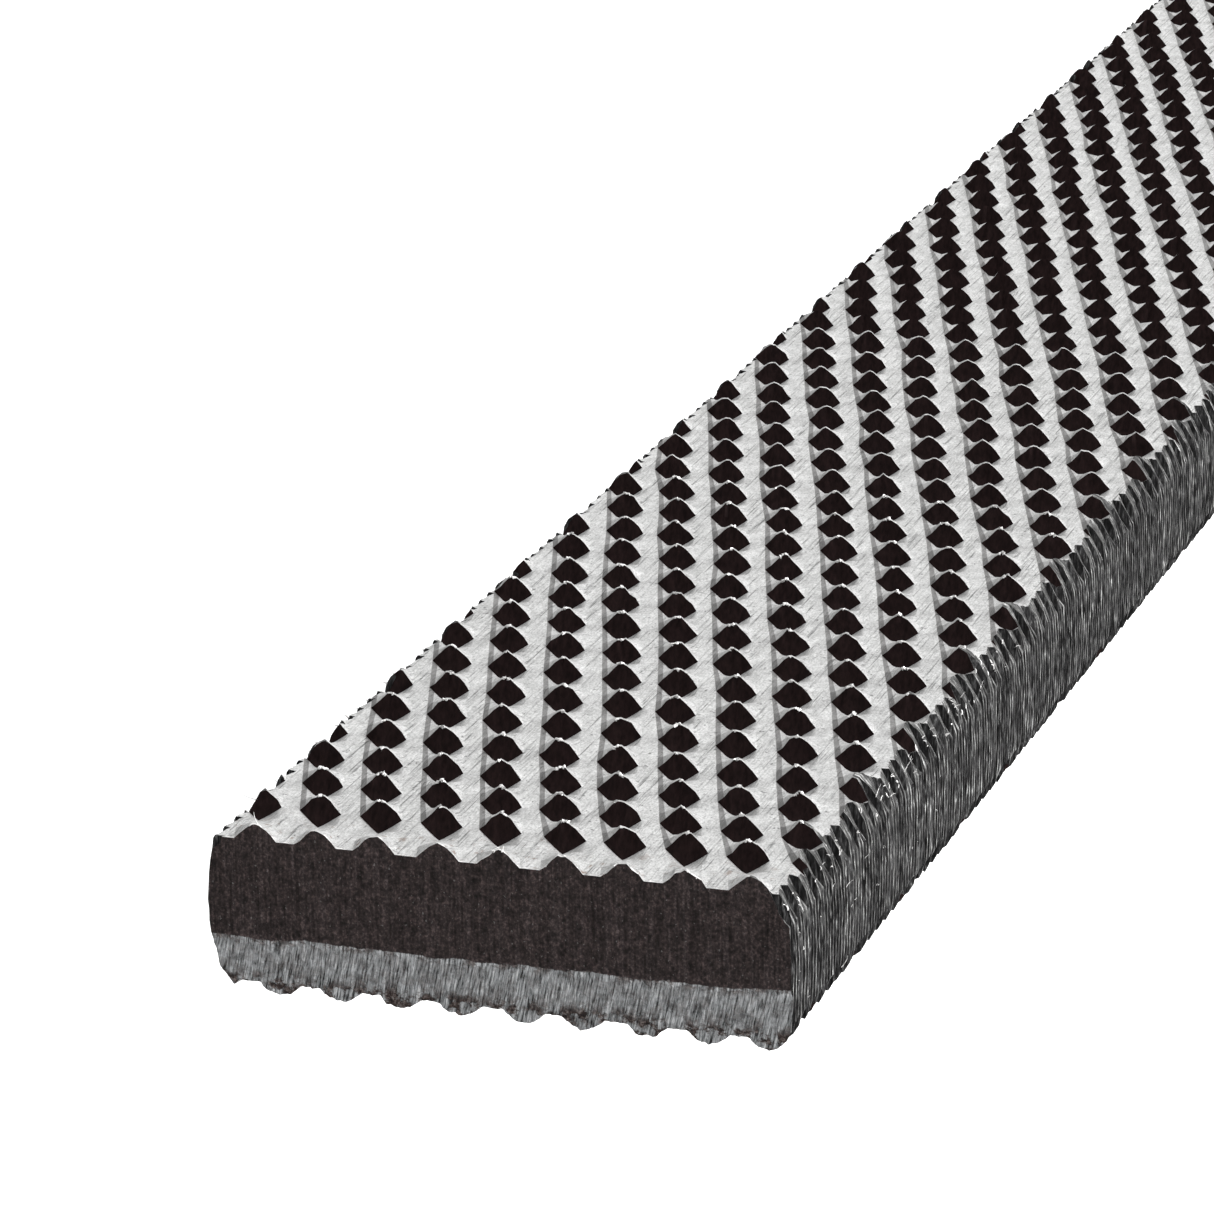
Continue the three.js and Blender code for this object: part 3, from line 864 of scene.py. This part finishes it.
def torn_colour(n, slant, height):
    """The tip's lower zone: blue-grey with slanting tears, and brown crumbs along its edges."""
    grey = ((0.38, (0.012, 0.012, 0.013)), (0.45, (0.13, 0.135, 0.137)), (0.55, (0.27, 0.278, 0.284)),
            (0.72, (0.6, 0.6, 0.6)))
    brown = ((0.36, (0.006, 0.005, 0.005)), (0.52, (0.04, 0.027, 0.024)), (0.68, (0.17, 0.145, 0.135)))
    patches = n.ramp(n.noise((9000, 7000, 9000), 5.0, 0.75), (0.34, 0.3), (0.5, 1.0))
    rust = n.ramp(n.noise((6200, 2600, 7200), 5.0, 0.7), (0.46, 0.0), (0.54, 1.0))
    by_edges = n.ramp(height, (0.05, 1.0), (0.16, 0.4), (0.4, 0.25), (0.48, 0.8))
    crumbs = n.ramp(n.noise((26000, 20000, 26000), 4.0, 0.7), *brown)
    colour = n.darken(0.8, n.ramp(slant, *grey), patches)
    return n.mix(n.maths("MULTIPLY", rust, by_edges), colour, crumbs)


def tip_steel():
    """The sheared tip: burnished above the shear line, where its near-black is painted dark reflection;
    broken blue-grey metal below it.
    """
    n = Nodes("sheared_tip")
    streaks = n.noise((38000, 4000, 1500), 4.0, 0.65)
    slant = n.noise((52000, 6000, 4200), 5.0, 0.72, turn=-0.22)
    height = n.height_over_shear_line(n.noise((3200, 800, 900), 5.0, 0.65))
    upper = n.ramp(height, (0.495, 0.0), (0.505, 1.0))
    colour = n.mix(upper, torn_colour(n, slant, height), burnish_painted_dark(n, streaks))
    relief = n.bump(n.mix(upper, slant, streaks), 0.6)
    n.shader.inputs["Specular IOR Level"].default_value = 0.2
    return n.finish(colour, 0.0, 0.62, relief)


def edge_steel():
    """The narrow edges with their single cut: dark grey in painted shade, far darker than the same steel on
    the broad faces, bright where the ridges catch.
    """
    n = Nodes("narrow_edge_painted_shade")
    grain = n.noise((12000, 30000, 5200), 5.0, 0.72)
    grey = ((0.4, 0.008), (0.49, (0.07, 0.069, 0.067)), (0.57, (0.27, 0.27, 0.265)), (0.68, (0.8, 0.8, 0.79)))
    # painted shade, made deeper in random patches
    shade_patches = n.ramp(n.noise((5200, 3600, 4200), 4.0, 0.6), (0.36, 0.3), (0.56, 1.0))
    colour = n.darken(0.9, n.ramp(grain, *grey), shade_patches)
    return n.finish(colour, 0.5, 0.5, n.bump(grain, 0.6))


def shaded_edge_face_steel():
    """The steep fronts of the edge cut: near-black grey in painted shade, for fronts turned away from the
    light, speckled.
    """
    n = Nodes("edge_face_painted_shade")
    grain = n.noise((42000, 30000, 6500), 4.0, 0.7)
    colour = n.ramp(grain, (0.38, 0.004), (0.52, (0.026, 0.025, 0.026)), (0.64, 0.11), (0.75, 0.4))
    n.shader.inputs["Specular IOR Level"].default_value = 0.3
    return n.finish(colour, 0.2, 0.5, n.bump(grain, 0.6))


def shank_steel():
    """Ground neck and shank: satin steel with marks round the shank and faint lengthwise scratches."""
    n = Nodes("shank_steel")
    marks = n.noise((900, 7000, 900), 4.0, 0.6)
    cloud = n.ramp(n.noise((300, 120, 300)), (0.3, 0.6), (0.7, 1.0))
    colour = n.ramp(marks, (0.3, (0.4, 0.395, 0.385)), (0.7, (0.6, 0.595, 0.58)))
    dullness = n.ramp(marks, (0.2, 0.42), (0.8, 0.26))
    colour = n.darken(0.5, colour, cloud)
    return n.finish(colour, 1.0, dullness, n.bump(marks, 0.25))


def turned_steel(name, light, dark, roughness):
    """Turned steel: fine rings round the axis, light handling wear."""
    n = Nodes(name)
    rings = n.noise((200, 9000, 200), 4.0, 0.6)
    wear = n.noise((500, 500, 500), 4.0, 0.6)
    colour = n.mix(n.ramp(wear, (0.35, 0.0), (0.7, 1.0)), dark, light)
    colour = n.darken(0.35, colour, n.ramp(rings, (0.3, 0.55), (0.7, 1.0)))
    dullness = n.ramp(wear, (0.3, roughness + 0.12), (0.7, roughness))
    return n.finish(colour, 1.0, dullness, n.bump(rings, 0.3))


def brass():
    """Turned brass with brown tarnish."""
    n = Nodes("ferrule_brass")
    rings = n.noise((260, 7000, 260), 4.0, 0.6)
    tarnish = n.noise((420, 420, 420), 5.0, 0.62)
    yellow = ((0.3, (0.36, 0.22, 0.075)), (0.5, (0.62, 0.42, 0.15)), (0.75, (0.76, 0.55, 0.24)))
    colour = n.darken(0.3, n.ramp(tarnish, *yellow), n.ramp(rings, (0.3, 0.6), (0.7, 1.0)))
    dullness = n.ramp(tarnish, (0.3, 0.42), (0.7, 0.24))
    return n.finish(colour, 1.0, dullness, n.bump(rings, 0.25))


def wood():
    """Oiled hardwood: straight grain along the handle, short pores and soft wear."""
    n = Nodes("handle_wood")
    figure = n.noise((260, 16, 260), 4.0, 0.55)
    fibres = n.noise((3200, 90, 3200), 4.0, 0.6)
    pores = n.ramp(n.noise((5200, 420, 5200), 2.0, 0.5), (0.34, 0.0), (0.4, 1.0))
    colour = n.ramp(figure, (0.3, (0.1, 0.04, 0.015)), (0.48, (0.22, 0.1, 0.04)), (0.7, (0.31, 0.16, 0.07)))
    colour = n.darken(0.45, colour, n.ramp(fibres, (0.25, 0.55), (0.75, 1.0)))
    colour = n.darken(0.55, colour, n.ramp(pores, (0.0, 0.35), (1.0, 1.0)))
    relief = n.node("ShaderNodeBump", Height=pores, Strength=0.35, Distance=0.00005)
    n.feed(relief.inputs["Normal"], n.bump(fibres, 0.25, 0.00003))
    n.shader.inputs["Coat Weight"].default_value = 0.25
    n.shader.inputs["Coat Roughness"].default_value = 0.25
    dullness = n.ramp(fibres, (0.2, 0.6), (0.8, 0.42))
    return n.finish(colour, 0.0, dullness, relief.outputs["Normal"])


# ---- chuck, ferrule and handle ----

# Where each turned piece starts and ends along the axis, and its outer radius, comes from its CAD box.
# The functions below keep the rest of each piece's dimensions, in millimetres.

def reach_of(node):
    low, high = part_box(node)
    return (low[1] - TIP_Y) / MM, (high[1] - TIP_Y) / MM, (high[2] - low[2]) / MM / 2


def finish_piece(obj, material, node, body):
    obj.data.materials.clear()
    obj.data.materials.append(material)
    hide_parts(node)
    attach(obj, body)


def make_nut(material):
    """The knurled nut: a nose cone, the knurled band, and a rim behind a groove."""
    front, back, radius = reach_of("chuck_nut")
    nose = 3.7
    nose_end = front + 3.2
    edge = 0.25
    band_start = nose_end + 0.9
    band_end = back - 1.5
    bore = 2.8
    thread_bore = 4.6
    thread_start = front + 5.0
    shoulder = radius - 0.5
    groove = radius - 0.45
    knurl_starts = 34
    knurl_turn = 4.4  # pitches that the knurl's grooves turn over the band's length
    knurl_land = 0.45
    knurl_depth = 0.32
    knurl_run_out = 0.35

    def knurl(angle, along, at):
        if at < radius - 0.05:
            return 0 * angle
        inside = smoothstep(along, band_start, band_start + knurl_run_out)
        inside *= 1 - smoothstep(along, band_end - knurl_run_out, band_end)
        turn = (along - band_start) / (band_end - band_start) * knurl_turn
        start = angle * knurl_starts / (2 * np.pi)
        grooves = np.maximum(zigzag(start + turn), zigzag(start - turn))
        return -knurl_depth * beyond(grooves, knurl_land) * inside

    profile = [(bore, front + 0.25), (bore + 0.2, front + 0.03), (nose - edge, front)]
    profile += arc((nose - edge, front + edge), edge, -75, -20, 3)
    profile += line((nose, front + 0.4), (radius - 0.55, nose_end - 0.1), 6)
    profile += [(shoulder, nose_end), (shoulder, nose_end + 0.35)]
    profile += [(radius - 0.12, nose_end + 0.55), (radius, band_start - 0.1)]
    profile += line((radius, band_start), (radius, band_end), 48)
    profile += [(radius, band_end), (radius - 0.1, band_end + 0.1)]
    profile += [(groove, band_end + 0.35), (groove, band_end + 0.6)]
    profile += [(radius - 0.1, band_end + 0.75), (radius, back - 0.55), (radius, back - edge)]
    profile += [(radius - edge, back), (thread_bore + 0.15, back), (thread_bore, back - 0.15)]
    profile += [(thread_bore, thread_start), (3.5, thread_start - 0.5), (bore, front + 0.9)]
    nut = turned("knurled_nut", profile, 340, knurl)
    smooth(nut, 35)
    finish_piece(nut, material, "chuck_nut", "nut")


def make_collet(material):
    """Four jaws on a common sleeve; the jaws close on the shank."""
    front, back, radius = reach_of("collet")
    steps = 14  # sections across each jaw
    grip = SHANK_RADIUS + 0.02
    nose = 2.5
    nose_end = front + 1.1
    cone_end = front + 5.1
    jaw_end = front + 8.0
    half_slot = 0.28
    edge = 0.15
    section = [(nose - edge, front), (nose, front + edge), (nose, nose_end), (radius, cone_end)]
    section += [(radius, jaw_end), (grip, jaw_end), (grip, front + 0.2), (grip + edge, front)]
    points = []
    faces = []
    for jaw in range(4):
        middle = math.pi / 4 + jaw * math.pi / 2
        base = len(points)
        for share in np.linspace(-1, 1, steps):
            for at, along in section:
                half = math.pi / 4 - math.asin(min(half_slot / at, 1))
                turn = middle + share * half
                points.append((at * math.cos(turn), along, at * math.sin(turn)))
        count = len(section)
        for k in range(steps - 1):
            for m in range(count):
                a = base + k * count + m
                b = base + k * count + (m + 1) % count
                faces.append([a, a + count, b + count, b])
        faces.append([base + m for m in range(count)])
        faces.append([base + (steps - 1) * count + m for m in range(count)][::-1])
    jaws = smooth(place(new_object("collet_jaws", points, faces)), 30)
    sleeve_bore = SHANK_RADIUS + 0.3
    sleeve_start = jaw_end - 0.02
    bevel = 0.2
    profile = [(sleeve_bore, sleeve_start), (radius, sleeve_start), (radius, back - bevel)]
    profile += [(radius - bevel, back), (sleeve_bore, back)]
    tail = smooth(turned("collet_sleeve", profile, 96))
    finish_piece(jaws, material, "collet", "collet")
    finish_piece(tail, material, "collet", "collet")


def make_spindle(material):
    """The spindle: a thread for the nut, a flange against the handle, and a barbed stem in the wood."""
    front, back, flange = reach_of("chuck_spindle")
    flange_front = reach_of("chuck_nut")[1] + 0.3
    flange_back = flange_front + 1.5
    edge = 0.2
    socket = 3.5
    socket_end = front + 5
    shank_bore = 2.1
    thread = 4.3
    thread_end = flange_front - 0.3
    thread_groove = thread - 0.35
    pitch = 0.75
    thread_crest = 0.15
    thread_depth = 0.38
    stem = 3.0
    barbs = 4
    barb_pitch = 5
    barb_foot = 2.65

    def helix(angle, along, at):
        if at < thread - 0.25 or along > flange_front - 0.05:
            return 0 * angle
        return -thread_depth * beyond(zigzag(along / pitch - angle / (2 * np.pi)), thread_crest)

    profile = [(socket, front), (thread - 0.5, front)]
    profile += line((thread, front + 0.5), (thread, thread_end), 60)
    profile += [(thread_groove, thread_end), (thread_groove, flange_front), (flange - edge, flange_front)]
    profile += arc((flange - edge, flange_front + edge), edge, -70, 0, 3)
    profile += [(flange, flange_back - edge), (flange - edge, flange_back), (stem, flange_back)]
    for barb in range(barbs):
        start = flange_back + barb * barb_pitch
        profile += [(stem, start + barb_pitch / 2), (barb_foot, start + barb_pitch - 0.1)]
    profile += [(barb_foot, back), (shank_bore, back), (shank_bore, socket_end + 0.2), (socket, socket_end)]
    spindle = smooth(turned("chuck_spindle_turned", profile, 120, helix), 30)
    finish_piece(spindle, material, "chuck_spindle", "grip")


def make_ferrule(material):
    """The brass tube: a rounded front edge, two turned grooves and a flared bead at the back."""
    front, back, flare = reach_of("ferrule")
    outer = flare - FERRULE_FLARE
    inner = outer - FERRULE_WALL
    edge = 0.35
    bead = 0.6
    groove_depth = 0.14
    grooves = (front + 2.2, front + 3.0)
    profile = [(inner, front + 0.2), (inner + 0.1, front)]
    profile += arc((outer - edge, front + edge), edge, -85, 0, 6)
    profile += line((outer, front + bead), (outer, grooves[0]), 3)
    for groove in grooves:
        profile += [(outer, groove), (outer - groove_depth, groove + 0.12)]
        profile += [(outer - groove_depth, groove + 0.26), (outer, groove + 0.38)]
    profile += line((outer, front + 3.8), (outer, back - 1.5), 8)
    profile += arc((outer - edge, back - bead), bead, -60, 60, 8)
    profile += [(inner + 0.05, back - 0.02), (inner, back - 0.1)]
    ferrule = smooth(turned("ferrule_tube", profile, 160), 35)
    finish_piece(ferrule, material, "ferrule", "grip")


def make_brad(material, side):
    """A round-headed brad through the ferrule, turned upright and then laid across the axis."""
    node = "ferrule_brad_right" if side > 0 else "ferrule_brad_left"
    low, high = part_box(node)
    along = ((low[1] + high[1]) / 2 - TIP_Y) / MM
    head = (high[1] - low[1]) / MM / 2
    outside = max(abs(low[0]), abs(high[0])) / MM
    base = outside - 0.35
    rim_height = 0.06
    dome = 0.29
    shaft = 0.5
    profile = [(0, base - 3), (shaft / 2, base - 2.7), (shaft, base - 2.2), (shaft, base)]
    profile += [(head * 0.96, base), (head, base + rim_height)]
    for turn in np.radians([20, 40, 60, 78]):
        profile.append((head * math.cos(turn), base + rim_height + dome * math.sin(turn)))
    profile.append((0, outside))
    brad = lathe("brad_right" if side > 0 else "brad_left", profile, 40)
    brad.data.transform(Matrix.Translation((0, along, 0)) @ Matrix.Rotation(-side * math.pi / 2, 4, "Z"))
    smooth(place(brad), 40)
    finish_piece(brad, material, node, "grip")


def make_handle(material):
    """The grip: a spigot in the ferrule, a neck with two turned lines, and a swell with soft facets."""
    front, back, _ = reach_of("handle")
    _, ferrule_back, ferrule_radius = reach_of("ferrule")
    spigot = ferrule_radius - FERRULE_FLARE - FERRULE_WALL - 0.3
    face = ferrule_back + 0.08
    shoulder = ferrule_back + 0.3
    shoulder_radius = 6.8
    shoulder_edge = 0.3
    length = back - shoulder
    apothem = (cad_high[2] - cad_low[2]) / MM / 2
    waist = 7.3
    swell_start = 3
    straight_start = 24
    straight_end = 62
    end_power = 2.6
    facets = 8
    facet_fade = 4
    corner_height = 0.058  # a facet's corner over its middle, as a share of the apothem
    corner_sharpness = 260
    turned_lines = (3.2, 4.4)
    line_depth = 0.16
    line_width = 0.3
    shank_bore = SHANK_RADIUS + 0.4
    shank_bore_end = 181
    stem_bore = 3.1
    stem_bore_end = reach_of("chuck_spindle")[1] + 0.1

    def apothem_at(along):
        swell = float(smoothstep(along, swell_start, straight_start))
        neck = waist + (apothem - waist) * swell
        tail = max(0, along - straight_end) / (length - straight_end)
        return neck * math.sqrt(max(0, 1 - tail ** end_power))

    def facet_relief(angle, along, at):
        if at < spigot:
            return 0 * angle
        from_shoulder = along - shoulder
        amount = smoothstep(from_shoulder, facet_fade, straight_start)
        amount *= 1 - smoothstep(from_shoulder, straight_end, length - facet_fade)
        span = 2 * np.pi / facets
        from_facet = angle - np.round(angle / span) * span
        flat = 1 / np.cos(from_facet)
        # A smooth minimum of the flat facet and a circle, which rounds the facets' corners.
        both = np.exp(-corner_sharpness * (flat - 1)) + math.exp(-corner_sharpness * corner_height)
        return at * amount * (-np.log(both) / corner_sharpness)

    profile = [(0, shank_bore_end), (shank_bore, shank_bore_end), (shank_bore, stem_bore_end)]
    profile += [(stem_bore, stem_bore_end), (stem_bore, front), (spigot - 0.3, front), (spigot, front + 0.3)]
    profile += [(spigot, face - 0.02), (shoulder_radius + 0.15, face)]
    profile += arc((shoulder_radius, face + shoulder_edge), shoulder_edge, -60, 10, 4)
    for along in np.arange(0.6, straight_start, 0.8):
        depths = [line_depth * math.exp(-((along - middle) / line_width) ** 2) for middle in turned_lines]
        profile.append((apothem_at(along) - sum(depths), shoulder + along))
    profile += line((apothem, shoulder + straight_start), (apothem, shoulder + straight_end), 12)
    for turn in np.radians(np.linspace(0, 88, 30)):
        along = straight_end + (length - straight_end) * math.sin(turn)
        profile.append((apothem_at(along), shoulder + along))
    profile += [(0.35, back - 0.01), (0, back)]
    handle = smooth(turned("wooden_handle", profile, 192, facet_relief), 40)
    finish_piece(handle, material, "handle", "grip")


# ---- camera, floor and light ----

def make_camera():
    """A long lens close to the tip, looking down the blade from its right."""
    azimuth = math.radians(19.37)
    elevation = math.radians(18.48)
    roll = math.radians(-1.15)
    blade_width = WIDTH * MM
    distance = 10.886 * blade_width
    blade_top = AXIS_Z + THICKNESS / 2 * MM
    aim = Vector((-0.222 * blade_width, TIP_Y + 1.202 * blade_width, blade_top))
    level = math.cos(elevation)
    back = Vector((math.sin(azimuth) * level, -math.cos(azimuth) * level, math.sin(elevation)))
    data = bpy.data.cameras.new("camera")
    data.sensor_width = 36
    data.lens = 180.74
    data.clip_start = 0.001
    data.clip_end = 10
    camera = bpy.data.objects.new("camera", data)
    camera.rotation_mode = "QUATERNION"
    camera.location = aim + back * distance
    towards_aim = (-back).to_track_quat("-Z", "Y")
    camera.rotation_quaternion = towards_aim @ Matrix.Rotation(roll, 4, "Z").to_quaternion()
    bpy.context.scene.collection.objects.link(camera)
    bpy.context.scene.camera = camera


def make_floor():
    size = 4.0
    corners = [(-size, -size, 0), (size, -size, 0), (size, size, 0), (-size, size, 0)]
    floor = new_object("floor", corners, [(0, 1, 2, 3)])
    material = bpy.data.materials.new("pale_floor")
    material.use_nodes = True
    shader = material.node_tree.nodes["Principled BSDF"]
    shader.inputs["Base Color"].default_value = (0.93, 0.93, 0.93, 1)
    shader.inputs["Roughness"].default_value = 0.9
    shader.inputs["Specular IOR Level"].default_value = 0.0
    shader.inputs["Emission Color"].default_value = (1, 1, 1, 1)
    shader.inputs["Emission Strength"].default_value = 0.55
    floor.data.materials.append(material)
    floor.visible_glossy = False


def make_world():
    """A white studio: bright behind and above the file, dark on the camera's side for reflections."""
    brightest_way = Vector((0.5, 0.6, 0.62)).normalized()
    dark = (0.1, 0.1, 0.1, 1)
    dark_until = 0.3
    white_from = 0.85
    world = bpy.data.worlds.new("studio")
    bpy.context.scene.world = world
    world.use_nodes = True
    nodes = world.node_tree.nodes
    link = world.node_tree.links.new
    direction = nodes.new("ShaderNodeTexCoord")
    facing = nodes.new("ShaderNodeVectorMath")
    facing.operation = "DOT_PRODUCT"
    facing.inputs[1].default_value = brightest_way
    from_zero_to_one = nodes.new("ShaderNodeMath")
    from_zero_to_one.operation = "MULTIPLY_ADD"
    from_zero_to_one.inputs[1].default_value = 0.5
    from_zero_to_one.inputs[2].default_value = 0.5
    ramp = nodes.new("ShaderNodeValToRGB")
    ramp.color_ramp.elements[0].position = dark_until
    ramp.color_ramp.elements[0].color = dark
    ramp.color_ramp.elements[1].position = white_from
    ramp.color_ramp.elements[1].color = (1, 1, 1, 1)
    lighting = nodes["Background"]
    lighting.inputs["Strength"].default_value = 0.9
    seen = nodes.new("ShaderNodeBackground")
    seen.inputs["Color"].default_value = (1, 1, 1, 1)
    seen.inputs["Strength"].default_value = 1.05
    path = nodes.new("ShaderNodeLightPath")
    choose = nodes.new("ShaderNodeMixShader")
    link(direction.outputs["Generated"], facing.inputs[0])
    link(facing.outputs["Value"], from_zero_to_one.inputs[0])
    link(from_zero_to_one.outputs[0], ramp.inputs["Fac"])
    link(ramp.outputs["Color"], lighting.inputs["Color"])
    link(path.outputs["Is Camera Ray"], choose.inputs["Fac"])
    link(lighting.outputs[0], choose.inputs[1])
    link(seen.outputs[0], choose.inputs[2])
    link(choose.outputs[0], nodes["World Output"].inputs["Surface"])


def area_light(name, place_at, aim, size, power):
    data = bpy.data.lights.new(name, "AREA")
    data.shape = "DISK"
    data.size = size
    data.energy = power
    light = bpy.data.objects.new(name, data)
    light.location = place_at
    light.rotation_mode = "QUATERNION"
    light.rotation_quaternion = (Vector(aim) - Vector(place_at)).to_track_quat("-Z", "Y")
    light.visible_camera = False
    bpy.context.scene.collection.objects.link(light)


def make_lights():
    near_tip = (0, TIP_Y + 0.03, AXIS_Z)
    area_light("key_from_right", (0.56, TIP_Y + 0.14, 0.4), near_tip, 0.28, 6.0)
    area_light("soft_top", (0.2, 0.1, 0.8), (0, 0, 0), 0.8, 2.4)


make_camera()
make_floor()
make_world()
make_lights()
FILE_STEELS = [
    cut_steel("bright_cut_steel", (0.66, 0.66, 0.655), (0.46, 0.46, 0.455)),
    # a darker copy of the same cut steel, which paints the shade on the teeth's left flanks
    cut_steel("flank_painted_shade_steel", (0.29, 0.285, 0.28), (0.17, 0.167, 0.165)),
    shaded_tooth_face_steel(),
    tip_steel(),
    edge_steel(),
    shaded_edge_face_steel(),
    shank_steel(),
]
SLIVERS = make_blank(FILE_STEELS)
make_burrs(burr_steel_painted_glint(), SLIVERS)
make_nut(turned_steel("nut_steel", (0.72, 0.71, 0.69), (0.45, 0.44, 0.42), 0.24))
make_collet(turned_steel("collet_steel", (0.42, 0.41, 0.4), (0.24, 0.23, 0.23), 0.3))
make_spindle(turned_steel("spindle_steel", (0.6, 0.59, 0.57), (0.4, 0.39, 0.38), 0.28))
BRASS = brass()
make_ferrule(BRASS)
make_brad(BRASS, -1)
make_brad(BRASS, 1)
make_handle(wood())
bpy.context.scene.view_settings.view_transform = "Standard"
